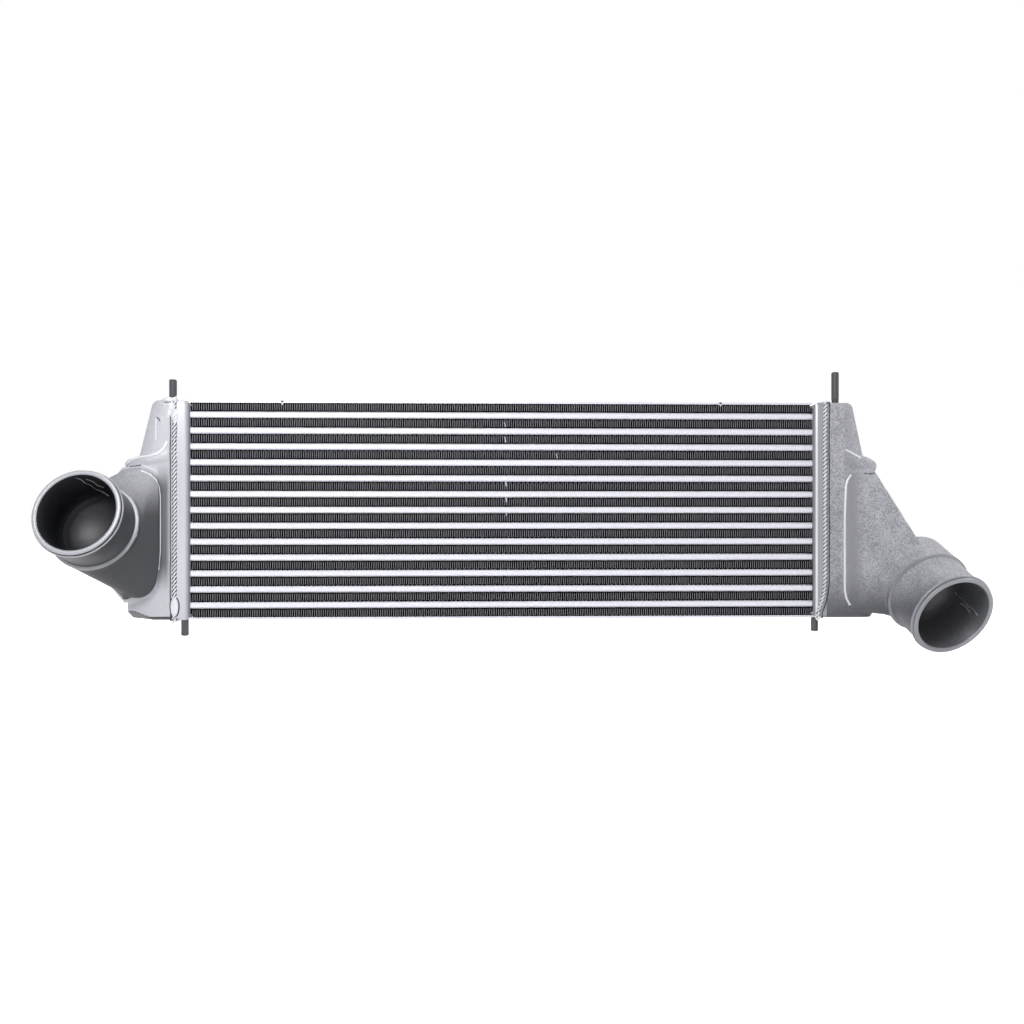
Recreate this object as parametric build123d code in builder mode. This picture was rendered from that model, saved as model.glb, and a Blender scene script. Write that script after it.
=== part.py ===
"""Charge-air cooler with a tube-and-fin core, folded header pans and two cast end tanks.

Frame: millimetres, +X along the core from the left tank to the right tank, +Y away from the
side that the hose spigots face, +Z up. The origin is where the lower left mounting pin leaves
the underside of its tank. Places are worked out from the centre of the core.
"""
from build123d import *
import os

os.makedirs("parts", exist_ok=True)

# Core: flat tubes and folded air fins, stacked between two side plates
tube_count = 13
tube_height = 6.5
tube_wall = 0.6
tube_corner = 1.3
fin_height = 9.5
core_depth = 76.0
core_length = 632.0
side_plate_sheet = 1.5
side_plate_lip = 3.0

# Folded strips
fin_legs = 20
fin_sheet = 1.0
fin_recess = 0.8
inner_fin_legs = 7
inner_fin_sheet = 0.8
inner_fin_side_gap = 0.8

# Header pans
pan_sheet = 2.5
pan_depth = 13.5
pan_overhang = 5.0
pan_corner_cut = 3.5
pan_floor_chamfer = 2.5
tube_reach = 1.5

# Weld beads on the joints between pans and tanks
bead_width = 7.0
bead_rise = 1.4
bead_pin_gap = 1.5

# Cast tanks
cast_wall = 4.0
hollow_corner_share = 0.85
ledge_thickness = 8.0

# Hose spigots
bore_radius = 38.0
passage_radius = 38.6
barrel_radius = 41.5
lip_radius = 42.5
lip_width = 2.2
groove_radius = 41.2
groove_width = 1.2
bead_radius = 43.8
bead_band = 3.0
pipe_radius = 44.2
elbow_cut = 24.0

# Mounting pins and the bosses that hold them
pin_radius = 4.0
pin_shank_radius = 3.0
pin_seat_depth = 10.0
pin_behind_centre = 13.0
boss_radius = 7.5
boss_rise = 1.5
lower_pin_out = 5.1

# What follows from these
pitch = tube_height + fin_height
stack_half = (tube_count * tube_height + (tube_count + 1) * fin_height) / 2
core_half_height = stack_half + side_plate_sheet
half_length = core_length / 2
half_depth = core_depth / 2
pan_half_depth = half_depth + pan_overhang
joint_out = half_length + pan_depth
core_x = joint_out + lower_pin_out
core_y = -pin_behind_centre
core_z = core_half_height
UP = Vector(0, 0, 1)


class TankShape:
    """Sizes of one cast tank.

    Places are outwards from its joint with the pan, and to the back and up from the core's centre.
    """

    def __init__(self, **sizes):
        self.__dict__.update(sizes)


left_tank = TankShape(
    side=-1,
    top_out=28.5,
    top_corner=22.0,
    top_bevel=3.5,
    waist_out=41.5,
    ledge_top=53.0,
    ledge_out=56.5,
    foot_out=55.5,
    foot_height=8.0,
    plan_corner=35.0,
    duct_outline=(
        (16.5, -60.0),
        (22.5, -79.0),
        (35.5, -88.0),
        (49.5, -93.0),
        (64.5, -75.0),
        (94.5, -60.0),
        (106.5, -20.0),
        (62.5, 27.0),
        (51.5, 43.0),
        (32.5, 43.0),
        (21.5, 38.0),
        (16.5, 27.0),
    ),
    duct_rise=10.0,
    duct_edge=7.0,
    back_start_out=56.5,
    back_end_out=102.5,
    back_end_behind=-22.0,
    mouth=(76.5, -104.0, -1.7),
    mouth_aim=(0.091, -0.933, 0.348),
    barrel_length=39.6,
    collar_length=8.0,
    upper_pin_out=17.5,
    upper_pin_length=25.3,
    lower_pin_length=21.5,
)

right_tank = TankShape(
    side=1,
    top_out=30.5,
    top_corner=14.0,
    top_bevel=3.5,
    waist_out=41.5,
    ledge_top=55.0,
    ledge_out=55.0,
    foot_out=51.5,
    foot_height=6.0,
    plan_corner=24.0,
    duct_outline=(
        (16.5, -90.0),
        (24.5, -103.0),
        (67.5, -108.0),
        (116.5, -96.0),
        (105.0, -60.0),
        (43.5, 41.0),
        (26.5, 38.0),
        (16.5, 28.0),
    ),
    duct_rise=6.0,
    duct_edge=5.0,
    back_start_out=60.5,
    back_end_out=125.5,
    back_end_behind=-15.0,
    mouth=(111.4, -89.8, -104.8),
    mouth_aim=(0.187, -0.873, -0.450),
    barrel_length=45.4,
    collar_length=40.0,
    upper_pin_out=27.5,
    upper_pin_length=36.5,
    lower_pin_length=19.5,
)


def at(side, out, back, up):
    """A point given outwards, to the back and up from the core's centre."""
    return Vector(core_x + side * out, core_y + back, core_z + up)


def tank_at(side, out, back, up):
    """A point of a tank, given outwards from its joint with the pan, to the back and up."""
    return at(side, joint_out + out, back, up)


def outline_plane(side, out=0.0):
    """A plane seen from the front, at a distance outwards: x runs on outwards, y up."""
    return Plane(origin=at(side, out, 0, 0), x_dir=(side, 0, 0), z_dir=(0, -side, 0))


def section_plane(side, out):
    """A plane across the core at a distance outwards: x runs to the back, y up."""
    return Plane(origin=at(side, out, 0, 0), x_dir=(0, 1, 0), z_dir=(1, 0, 0))


def pin_plane(side, out, up, facing):
    """A level plane at a pin's place, with its normal up or down."""
    return Plane(origin=tank_at(side, out, pin_behind_centre, up), x_dir=(1, 0, 0), z_dir=(0, 0, facing))


def finish(part, name):
    part.label = name
    export_step(part, f"parts/{name}.step")


def folded_strip(length, height, legs, sheet):
    """Corners of a zigzag strip, centred, that runs along x and fills its height."""
    step = length / legs
    upper = []
    for leg in range(legs + 1):
        crest = height / 2 if leg % 2 == 0 else -height / 2 + sheet
        upper.append((-length / 2 + leg * step, crest))
    lower = [(x, y - sheet) for x, y in reversed(upper)]
    return upper + lower


def cut_rectangle(width, height, cut):
    """Corners of a centred rectangle whose four corners are cut off."""
    half_width = width / 2
    half_height = height / 2
    return (
        (half_width, half_height - cut),
        (half_width - cut, half_height),
        (cut - half_width, half_height),
        (-half_width, half_height - cut),
        (-half_width, cut - half_height),
        (cut - half_width, -half_height),
        (half_width - cut, -half_height),
        (half_width, cut - half_height),
    )


def tube_up(number):
    """Height of a tube's centre above the core's centre, counted from the bottom."""
    return (number - (tube_count - 1) / 2) * pitch


def make_tube(number, name):
    length = core_length + 2 * (pan_sheet + tube_reach)
    with BuildPart() as tube:
        with BuildSketch(section_plane(1, -length / 2)):
            with Locations((0, tube_up(number))):
                Polygon(*cut_rectangle(core_depth, tube_height, tube_corner), align=None)
                Polygon(
                    *cut_rectangle(
                        core_depth - 2 * tube_wall,
                        tube_height - 2 * tube_wall,
                        tube_corner - tube_wall,
                    ),
                    align=None,
                    mode=Mode.SUBTRACT,
                )
        extrude(amount=length)
    finish(tube.part, name)


def make_inner_fin(number, name):
    span = core_depth - 2 * (tube_wall + inner_fin_side_gap)
    height = tube_height - 2 * tube_wall
    with BuildPart() as inner_fin:
        with BuildSketch(section_plane(1, -half_length)):
            with Locations((0, tube_up(number))):
                Polygon(*folded_strip(span, height, inner_fin_legs, inner_fin_sheet), align=None)
        extrude(amount=core_length)
    finish(inner_fin.part, name)


def make_air_fin(row, name):
    up = tube_up(row) - pitch / 2
    with BuildPart() as air_fin:
        with BuildSketch(outline_plane(1)):
            with Locations((0, up)):
                Polygon(*folded_strip(core_length, fin_height, fin_legs, fin_sheet), align=None)
        extrude(amount=half_depth - fin_recess, both=True)
    finish(air_fin.part, name)


def make_side_plate(facing, name):
    """A folded channel over the last row of fins; its lips turn towards the core."""
    with BuildPart() as plate:
        with BuildSketch(section_plane(1, -half_length)):
            with BuildLine():
                inner = facing * stack_half
                outer = facing * core_half_height
                lip = facing * (stack_half - side_plate_lip)
                Polyline(
                    (-half_depth - side_plate_sheet, outer),
                    (half_depth + side_plate_sheet, outer),
                    (half_depth + side_plate_sheet, lip),
                    (half_depth, lip),
                    (half_depth, inner),
                    (-half_depth, inner),
                    (-half_depth, lip),
                    (-half_depth - side_plate_sheet, lip),
                    close=True,
                )
            make_face()
        extrude(amount=core_length)
        folds = plate.edges().filter_by(Axis.X).group_by(Axis.Z)[-1 if facing > 0 else 0]
        fillet(folds, side_plate_sheet * 0.9)
    finish(plate.part, name)


def make_header_pan(side, name):
    """A pressed tray with its floor against the core and a slot for each tube."""
    with BuildPart() as pan:
        with BuildSketch(section_plane(side, half_length)):
            Polygon(*cut_rectangle(2 * pan_half_depth, 2 * core_half_height, pan_corner_cut), align=None)
        extrude(amount=side * pan_depth)
        floor_rim = pan.faces().sort_by(Axis.X)[0 if side > 0 else -1].edges()
        chamfer(floor_rim, pan_floor_chamfer)
        with BuildSketch(section_plane(side, half_length + pan_sheet)):
            Polygon(
                *cut_rectangle(
                    2 * (pan_half_depth - pan_sheet),
                    2 * (core_half_height - pan_sheet),
                    pan_corner_cut - pan_sheet / 2,
                ),
                align=None,
            )
        extrude(amount=side * (pan_depth - pan_sheet), mode=Mode.SUBTRACT)
        with BuildSketch(section_plane(side, half_length)):
            with GridLocations(0, pitch, 1, tube_count):
                Polygon(*cut_rectangle(core_depth, tube_height, tube_corner), align=None)
        extrude(amount=side * pan_sheet, mode=Mode.SUBTRACT)
    finish(pan.part, name)


def make_weld_bead(side, name):
    """A low bead, laid all round over the joint between pan and tank."""
    with BuildPart() as bead:
        with BuildSketch(section_plane(side, joint_out)):
            Polygon(
                *cut_rectangle(
                    2 * (pan_half_depth + bead_rise),
                    2 * (core_half_height + bead_rise),
                    pan_corner_cut + bead_rise / 2,
                ),
                align=None,
            )
            Polygon(
                *cut_rectangle(2 * pan_half_depth, 2 * core_half_height, pan_corner_cut),
                align=None,
                mode=Mode.SUBTRACT,
            )
        extrude(amount=bead_width / 2, both=True)
        # The bead stops short of the lower pin, so that a grommet reaches the tank
        with BuildSketch(pin_plane(side, lower_pin_out, -core_half_height, -1)):
            Circle(pin_radius + bead_pin_gap)
        extrude(amount=bead_rise, mode=Mode.SUBTRACT)
    finish(bead.part, name)


def make_pin(side, out, seat_up, length, facing, name):
    """A steel pin with a thinner shank that is pressed into its boss."""
    seat = pin_plane(side, out, seat_up, facing)
    with BuildPart() as pin:
        with BuildSketch(seat):
            Circle(pin_radius)
        extrude(amount=length)
        with BuildSketch(seat):
            Circle(pin_shank_radius)
        extrude(amount=-pin_seat_depth)
    finish(pin.part, name)


def spigot_plane(shape, behind):
    """A plane across the spigot, some way behind its mouth: x runs outwards, y mostly up."""
    side = shape.side
    aim = Vector(side * shape.mouth_aim[0], shape.mouth_aim[1], shape.mouth_aim[2]).normalized()
    outwards = UP.cross(aim).normalized()
    outwards = outwards if outwards.X * side > 0 else -outwards
    return Plane(origin=tank_at(side, *shape.mouth) - aim * behind, x_dir=outwards, z_dir=aim)


def upper_chamber(shape, wall):
    """The chamber above its ledge, with a sloped outer wall: its outside, or its hollow."""
    side = shape.side
    low = shape.ledge_top - 2 * ledge_thickness
    with BuildPart() as upper:
        with BuildSketch(outline_plane(side, joint_out)):
            with BuildLine():
                Polyline(
                    (0, core_half_height),
                    (shape.top_out - 2 * shape.top_bevel, core_half_height),
                    (shape.top_out, core_half_height - shape.top_bevel),
                    (shape.waist_out, shape.ledge_top),
                    (shape.waist_out, low),
                    (0, low),
                    close=True,
                )
            make_face()
            if wall:
                offset(amount=-wall, mode=Mode.REPLACE)
        extrude(amount=pan_half_depth - wall, both=True)
        outer_x = tank_at(side, shape.top_out / 2, 0, 0).X
        steep = upper.edges().filter_by(lambda edge: abs(edge.tangent_at(0).Z) > 0.8)
        outer = steep.filter_by(lambda edge: (edge.center().X - outer_x) * side > 0)
        fillet(outer, shape.top_corner - wall)
    return upper.part


def lower_chamber(shape, wall):
    """The chamber below its ledge, rounded in plan: its outside, or its hollow."""
    side = shape.side
    waist = shape.ledge_top - ledge_thickness
    with BuildPart() as lower:
        with BuildSketch(outline_plane(side, joint_out)):
            with BuildLine():
                Polyline(
                    (0, shape.ledge_top),
                    (shape.waist_out, shape.ledge_top),
                    (shape.ledge_out, shape.ledge_top - ledge_thickness / 2),
                    (shape.ledge_out, waist),
                    (shape.foot_out, waist),
                    (shape.foot_out, -core_half_height + shape.foot_height),
                    (shape.foot_out - shape.foot_height / 2, -core_half_height),
                    (0, -core_half_height),
                    close=True,
                )
            make_face()
            if wall:
                offset(amount=-wall, mode=Mode.REPLACE)
        extrude(amount=pan_half_depth - wall, both=True)
        with BuildSketch(Plane(origin=tank_at(side, 0, 0, -core_half_height), x_dir=(1, 0, 0), z_dir=UP)):
            if wall:
                Polygon(
                    *cut_rectangle(
                        2 * (shape.ledge_out - wall),
                        2 * (pan_half_depth - wall),
                        (shape.plan_corner - wall) * hollow_corner_share,
                    ),
                    align=None,
                )
            else:
                RectangleRounded(2 * shape.ledge_out, 2 * pan_half_depth, shape.plan_corner)
        extrude(amount=2 * core_half_height, mode=Mode.INTERSECT)
    return lower.part


def chamber_solid(shape, wall):
    """The tank's chamber without its duct: its outside, or its hollow where a wall is given."""
    side = shape.side
    with BuildPart() as chamber:
        add(upper_chamber(shape, wall))
        add(lower_chamber(shape, wall))
        if not wall:
            with BuildSketch(section_plane(side, joint_out)):
                Polygon(*cut_rectangle(2 * pan_half_depth, 2 * core_half_height, pan_corner_cut), align=None)
            extrude(amount=side * shape.ledge_out, mode=Mode.INTERSECT)
    return chamber.part


def duct_solid(shape, wall):
    """The flat duct between chamber and pipe: its outside, or its hollow where a wall is given."""
    side = shape.side
    front = pan_half_depth + shape.duct_rise - wall
    with BuildPart() as duct:
        with BuildSketch(outline_plane(side, joint_out).offset(side * front)):
            with BuildLine():
                Polyline(*shape.duct_outline, close=True)
            make_face()
            if wall:
                offset(amount=-wall, mode=Mode.REPLACE)
        extrude(amount=-side * (front + pan_half_depth - wall))
        chamfer(duct.faces().sort_by(Axis.Y)[0].edges(), shape.duct_edge - wall)
        back_start = tank_at(side, shape.back_start_out - wall, pan_half_depth, 0)
        back_end = tank_at(side, shape.back_end_out - wall, shape.back_end_behind, 0)
        slope = (back_end - back_start).normalized()
        split(bisect_by=Plane(origin=back_start, x_dir=UP, z_dir=slope.cross(UP) * side), keep=Keep.TOP)
    return duct.part


def make_tank(shape, name):
    side = shape.side
    mouth = spigot_plane(shape, 0)
    across = Plane(origin=mouth.origin, x_dir=mouth.x_dir, z_dir=mouth.x_dir.cross(mouth.z_dir))
    shoulder = shape.barrel_length
    elbow = shoulder + shape.collar_length
    hollow_cut = elbow_cut - cast_wall
    with BuildPart() as tank:
        # The casting's outside
        add(chamber_solid(shape, 0))
        add(duct_solid(shape, 0))
        # Hose spigot: lip, groove, bead band, barrel and shoulder, with a blunt elbow behind
        with BuildSketch(across):
            with BuildLine():
                groove_start = -lip_width
                band_start = groove_start - groove_width
                band_end = band_start - bead_band
                Polyline(
                    (0, 0),
                    (lip_radius, 0),
                    (lip_radius, groove_start),
                    (groove_radius, groove_start),
                    (groove_radius, band_start),
                    (bead_radius, band_start),
                    (bead_radius, band_end),
                    (barrel_radius, band_end - bead_radius + barrel_radius),
                    (barrel_radius, -shoulder),
                    (pipe_radius, -shoulder),
                    (pipe_radius, -elbow),
                    (pipe_radius - elbow_cut, -elbow - elbow_cut),
                    (0, -elbow - elbow_cut),
                    close=True,
                )
            make_face()
        revolve(axis=Axis(mouth.origin, mouth.z_dir))
        # Its passages
        add(chamber_solid(shape, cast_wall), mode=Mode.SUBTRACT)
        with BuildSketch(section_plane(side, joint_out)):
            Rectangle(2 * (pan_half_depth - cast_wall), 2 * (core_half_height - cast_wall))
        extrude(amount=side * 2 * cast_wall, mode=Mode.SUBTRACT)
        add(duct_solid(shape, cast_wall), mode=Mode.SUBTRACT)
        with BuildSketch(across):
            Polygon(
                (0, 0),
                (bore_radius, 0),
                (bore_radius, -shoulder),
                (passage_radius, -shoulder),
                (passage_radius, -elbow),
                (passage_radius - hollow_cut, -elbow - hollow_cut),
                (0, -elbow - hollow_cut),
                align=None,
            )
        revolve(axis=Axis(mouth.origin, mouth.z_dir), mode=Mode.SUBTRACT)
        # Bosses for the pins: a round one through the top wall, a square one inside the bottom wall
        upper_seat = pin_plane(side, shape.upper_pin_out, core_half_height + boss_rise, 1)
        lower_seat = pin_plane(side, lower_pin_out, -core_half_height, -1)
        with BuildSketch(upper_seat):
            Circle(boss_radius)
        extrude(amount=-pin_seat_depth - cast_wall / 2)
        with BuildSketch(lower_seat):
            with Locations(((boss_radius - lower_pin_out) / 2 * side, 0)):
                Rectangle(boss_radius + lower_pin_out, 2 * boss_radius)
        extrude(amount=-pin_seat_depth - cast_wall / 2)
        with BuildSketch(upper_seat, lower_seat):
            Circle(pin_shank_radius)
        extrude(amount=-pin_seat_depth, mode=Mode.SUBTRACT)
    finish(tank.part, name)


for number in range(tube_count):
    make_tube(number, f"tube_{number + 1:02d}")
    make_inner_fin(number, f"inner_fin_{number + 1:02d}")
for row in range(tube_count + 1):
    make_air_fin(row, f"air_fin_{row + 1:02d}")
make_side_plate(1, "side_plate_top")
make_side_plate(-1, "side_plate_bottom")
for shape, word in ((left_tank, "left"), (right_tank, "right")):
    make_header_pan(shape.side, f"header_pan_{word}")
    make_weld_bead(shape.side, f"weld_bead_{word}")
    make_tank(shape, f"cast_tank_{word}")
    make_pin(
        shape.side,
        shape.upper_pin_out,
        core_half_height + boss_rise,
        shape.upper_pin_length,
        1,
        f"upper_pin_{word}",
    )
    make_pin(
        shape.side,
        lower_pin_out,
        -core_half_height,
        shape.lower_pin_length,
        -1,
        f"lower_pin_{word}",
    )
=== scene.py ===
import math

import bmesh
import bpy
from bpy.props import FloatProperty, FloatVectorProperty, IntProperty, PointerProperty
from mathutils import Matrix, Vector
from mathutils.bvhtree import BVHTree


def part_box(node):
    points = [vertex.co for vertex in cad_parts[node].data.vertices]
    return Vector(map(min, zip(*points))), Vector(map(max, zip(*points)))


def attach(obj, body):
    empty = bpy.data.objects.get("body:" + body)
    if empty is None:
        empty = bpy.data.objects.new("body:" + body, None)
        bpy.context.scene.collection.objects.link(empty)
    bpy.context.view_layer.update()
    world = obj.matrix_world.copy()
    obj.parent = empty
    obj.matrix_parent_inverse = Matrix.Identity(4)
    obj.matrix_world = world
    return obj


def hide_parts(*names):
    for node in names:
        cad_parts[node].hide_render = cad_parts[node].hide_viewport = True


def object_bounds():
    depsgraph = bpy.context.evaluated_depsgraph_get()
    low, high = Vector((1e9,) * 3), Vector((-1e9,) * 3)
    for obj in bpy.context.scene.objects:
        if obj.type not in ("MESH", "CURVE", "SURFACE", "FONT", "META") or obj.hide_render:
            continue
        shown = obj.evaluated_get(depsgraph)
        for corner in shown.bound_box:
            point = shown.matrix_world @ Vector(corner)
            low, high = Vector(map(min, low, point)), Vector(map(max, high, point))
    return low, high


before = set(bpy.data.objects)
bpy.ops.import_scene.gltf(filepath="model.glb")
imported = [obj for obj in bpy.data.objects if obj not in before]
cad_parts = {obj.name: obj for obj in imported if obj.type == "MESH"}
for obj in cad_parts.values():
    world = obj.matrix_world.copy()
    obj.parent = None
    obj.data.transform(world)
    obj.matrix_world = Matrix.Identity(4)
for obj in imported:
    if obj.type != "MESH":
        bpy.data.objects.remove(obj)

bl_info = {
    "name": "Charge-air cooler",
    "version": (1, 0, 0),
    "blender": (4, 5, 0),
    "location": "3D View > Sidebar > Charge-air cooler",
    "description": "Dresses the cooler's core, pans, castings and pins, and sets up its studio",
    "category": "Object",
}

MM = 0.001
# Places nearer to each other than this are one place
TOUCH = 0.01 * MM
# A face whose normal has more than this along an axis looks straight along it
STRAIGHT = 0.99
CAD_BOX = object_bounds()
TUBES = [f"tube_{number:02d}" for number in range(1, 14)]
INNER_FINS = [f"inner_fin_{number:02d}" for number in range(1, 14)]
AIR_FINS = [f"air_fin_{number:02d}" for number in range(1, 15)]
SIDES = {"left": -1, "right": 1}

CORE_LOW, CORE_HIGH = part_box(TUBES[6])
CENTRE = (CORE_LOW + CORE_HIGH) / 2
JOINTS = {"left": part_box("header_pan_left")[0].x, "right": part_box("header_pan_right")[1].x}

# The camera solved from the photo: its place from the core's centre, and its turn in degrees
CAMERA_PLACE = Vector((-0.036, -1.1372, -0.002))
CAMERA_TURN = (90, 0, -2.252)

# The other skins of a casting, in the order of its materials after the outer skin
TURNED, INSIDE, DUCT, WORN_AND_HIGHLIT, BURNT_AND_SHADED = range(1, 6)

# Notches punched in the upper side plate's front lip, in millimetres across from the core's centre
NOTCHES = (-224.3, 220.6)

# Folds that a knock has bent into the light, in millimetres across and up from the core's centre
BENT_FOLDS = ((0, 87), (0.3, 71.5), (1.2, 26.5), (1.4, 10.5), (1.6, -3.5), (53, 55))

# Places on the tanks, in millimetres: outwards from the joint with the pan, to the back and up
# from the core's centre. The front outline of each duct is where its slope to the pipe starts.
TANKS = {
    "left": {
        # The middle of the spigot's lip, the direction in which it looks, and its length
        "mouth": (76.5, -104, -1.7),
        "aim": (0.091, -0.933, 0.348),
        "barrel": 39.6,
        # How far behind the shoulder the slope begins, and the duct's front, back and in outline
        "slope_start_behind": 6,
        "slope_front": -50.5,
        "slope_outline": (
            (14.3, -40), (14.3, -58), (17.5, -76), (27, -87), (43, -90), (88, -54), (99, -21), (60, 24),
            (50, 42), (33, 42), (19.5, 38), (14.3, 26), (14.3, 5),
        ),
        # Two places on the duct's outer edge, where the slope would stand beyond it
        "slope_trim": (),
        # The brow's inner end, the centre and radius of its plan, its foot, height and tilt in degrees
        "brow_start": 6,
        "brow_centre": (21.5, -8),
        "brow_radius": 36.5,
        "brow_low": 41,
        "brow_height": 9,
        "brow_tilt": 11,
        # How far the weld bead lies outwards of the joint, and its half width
        "bead_shift": 1,
        "bead_width": 5.6,
        # Outwards, up, half width, half height, lift, and whether it is burnt
        "bead_patches": (
            (2.5, 101, 4.5, 9, 0.9, False), (-0.5, 94, 3.2, 8, 1.6, False),
            (5.5, 96, 2.2, 4, 1.1, False), (0, -97, 5.1, 11.2, 1.5, True),
            (0, -97, 4.3, 10.4, 2.3, False), (5, 110, 7.5, 2.6, 3, False),
        ),
        # How far its foot runs out, a ripple's half length for its distance, and the place of the
        # undercut's painted shadow
        "bead_run_out": 0,
        "ripple_share": 0.25,
        "undercut_shade": 3.9,
        # Raised lines on the skin, bright ones partly worn bare and partly painted highlight, dark ones
        # painted shadow: radius, whether dark, and places out, back and up
        "lines": (
            (0.7, False, (
                (31.6, -51, 39.1), (22.7, -51, 35.2), (17.1, -50.4, 29.7), (14.9, -47.7, 22.9),
                (14.2, -46, 12.9), (14.1, -45.8, -10), (14.2, -46, -39.9), (15.1, -48.9, -59.6),
            )),
            (1.6, False, (
                (50.5, -31.2, 47.4), (43.7, -37.1, 50.7), (35.5, -41.4, 52.5), (24.9, -43.9, 53.9),
                (17, -43.7, 56.4), (11.3, -42.6, 61.9), (8.4, -42, 68.9),
            )),
            (0.6, False, ((19.9, -40.4, 91.1), (19.6, -41.6, 80), (19.4, -42.3, 69.9))),
            (0.5, True, ((18.8, -41.1, 93), (17.1, -41.9, 91.5), (15.4, -42.4, 88.9))),
            (0.6, True, (
                (52.4, -28.1, 44.5), (45.5, -37.5, 43.7), (39.5, -41.1, 44), (34.3, -42.2, 44.9),
            )),
            (0.4, False, (
                (83.3, -84, 30.6), (80.2, -79.3, 29.3), (79.3, -70.8, 26.1), (75.9, -64.1, 23.9),
                (75, -55.4, 20.7), (70.2, -49.6, 18.3), (64.6, -45.8, 13.9),
            )),
            (0.4, False, (
                (75.3, -79.7, 29.8), (70.5, -74.4, 27.5), (69.5, -65.9, 24.3), (64, -62.4, 22),
            )),
        ),
        # A wedge off the lower outer corner of the chamber's front
        "corner_wedge": (
            (48, -44, -95), (17, -44, -111.5), (58, -7, -109), (62, -44, -95), (62, -44, -113),
            (17, -44, -113), (62, -7, -113),
        ),
    },
    "right": {
        "mouth": (111.4, -89.8, -104.8),
        "aim": (0.187, -0.873, -0.45),
        "barrel": 45.4,
        "slope_start_behind": 20,
        "slope_front": -47.5,
        "slope_outline": (
            (17.5, -88), (25.5, -101), (67.5, -105), (112, -94), (107, -60), (51, 36), (48, 41.5),
            (43, 41), (27, 37), (17.5, 27),
        ),
        "slope_trim": ((48, 41), (109, -60)),
        "brow_start": 14,
        "brow_centre": (33, -19),
        "brow_radius": 24.6,
        "brow_low": 39.5,
        "brow_height": 10.5,
        "brow_tilt": 12,
        "bead_shift": -2,
        "bead_width": 3.9,
        "bead_patches": (),
        "bead_run_out": -7,
        "ripple_share": 0.31,
        "undercut_shade": 4.4,
        "lines": (
            (1.3, False, (
                (24.5, -44.1, 35.9), (20.6, -45, 30.7), (18.6, -46.1, 23.5), (17.6, -45.7, -10.2),
                (17.6, -45.7, -51), (17.7, -45.7, -81.7), (19.1, -46.2, -89.8), (22.9, -45.8, -97),
            )),
            (0.8, False, ((19.2, -43, 61.9), (27, -42.9, 57.9), (35.2, -42.8, 53.4))),
            (0.5, True, ((36.7, -47.6, 37.3), (42.8, -47.9, 36.8), (47.6, -47.6, 37.8))),
            (0.4, False, (
                (137.3, -34.1, -84.9), (139, -39.6, -89.7), (140.5, -45.5, -91.3), (141.9, -53.6, -97.7),
                (143.6, -60.9, -100.1), (145, -68.8, -106.5),
            )),
            (0.4, False, ((138.7, -42.5, -95.6), (141.2, -52.9, -99.8), (141.9, -58.1, -104.4))),
        ),
        "corner_wedge": (),
    },
}


def linear(hex_colour):
    """An sRGB hex colour as the linear red, green, blue and alpha that a shader takes."""
    parts = [int(hex_colour[start:start + 2], 16) / 255 for start in (1, 3, 5)]
    return [
        part / 12.92 if part <= 0.04045 else ((part + 0.055) / 1.055) ** 2.4 for part in parts
    ] + [1.0]


def length(name, description, default):
    """A property for a length, whose default is in metres."""
    return FloatProperty(name=name, description=description, default=default, unit="LENGTH", precision=5)


def amount(name, description, default, least=0):
    """A property for a plain number."""
    return FloatProperty(name=name, description=description, default=default, min=least)


def colour(name, description, hex_colour):
    """A property for a colour."""
    return FloatVectorProperty(
        name=name,
        description=description,
        default=linear(hex_colour),
        size=4,
        subtype="COLOR",
        min=0,
        max=1,
    )


class CoreSizes(bpy.types.PropertyGroup):
    """Sizes of the folded air fins and of the sheet metal round them."""

    waves: IntProperty(name="Waves", description="Full folds in one row of fins", default=143, min=1)
    fin_sheet: length("Fin sheet", "Drawn thickness of the fin strip", 0.5 * MM)
    fin_kink: length("Fin kink", "Sideways wave of a fin on its way to the back", 2.6 * MM)
    fin_wander: length("Fin wander", "How far the folds wander along the row", 0.9 * MM)
    bright_edge: length("Bright edge", "Height of the straight, light part of a fin's edge", 6.4 * MM)
    plate_sheet: length("Plate sheet", "Thickness of the side plates", 1.5 * MM)
    plate_lip: length("Plate lip", "How far the side plates reach over the outer fins", 0.8 * MM)
    notch_width: length("Notch width", "Width of the notches in the upper plate", 4 * MM)
    pan_edge: length("Pan edge", "Radius of the pans' pressed edges", 5.5 * MM)
    pan_corner: length("Pan corner", "Radius of the pans' corners", 3.5 * MM)
    pan_sheet: length("Pan sheet", "Thickness of the pans", 2.5 * MM)


class BeadSizes(bpy.types.PropertyGroup):
    """Sizes of the weld beads between pans and castings."""

    rise: length("Rise", "Height of a bead over the sheet", 2.4 * MM)
    ripple: length("Ripple", "Distance from one ripple to the next", 4.2 * MM)
    wander: length("Wander", "How far a bead wanders from the joint", 1.4 * MM)
    undercut: length("Undercut", "Width of the dark line between bead and casting", 0.9 * MM)
    slant: FloatProperty(
        name="Slant",
        description="Turn of a ripple across the bead",
        default=math.radians(56),
        unit="ROTATION",
    )


class CastingSizes(bpy.types.PropertyGroup):
    """Sizes of the cast tanks and their turned spigots."""

    grain: length("Mesh grain", "Size of a cell of the castings' skin", 1.35 * MM)
    rounding: IntProperty(
        name="Rounding", description="Passes that round the castings' edges", default=5, min=0
    )
    bore: length("Bore", "Radius inside a spigot", 38.0 * MM)
    barrel: length("Barrel", "Radius of a spigot's outside", 41.5 * MM)
    lip: length("Lip", "Radius of a spigot's lip", 42.5 * MM)
    bead: length("Bead", "Radius of the band that holds the hose", 43.8 * MM)
    pipe: length("Pipe", "Radius of the cast pipe behind the shoulder", 44.2 * MM)
    elbow: length("Elbow", "Depth of the rounded wall behind the bore", 22 * MM)
    steps: IntProperty(name="Steps", description="Steps round a spigot", default=96, min=12)


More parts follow.
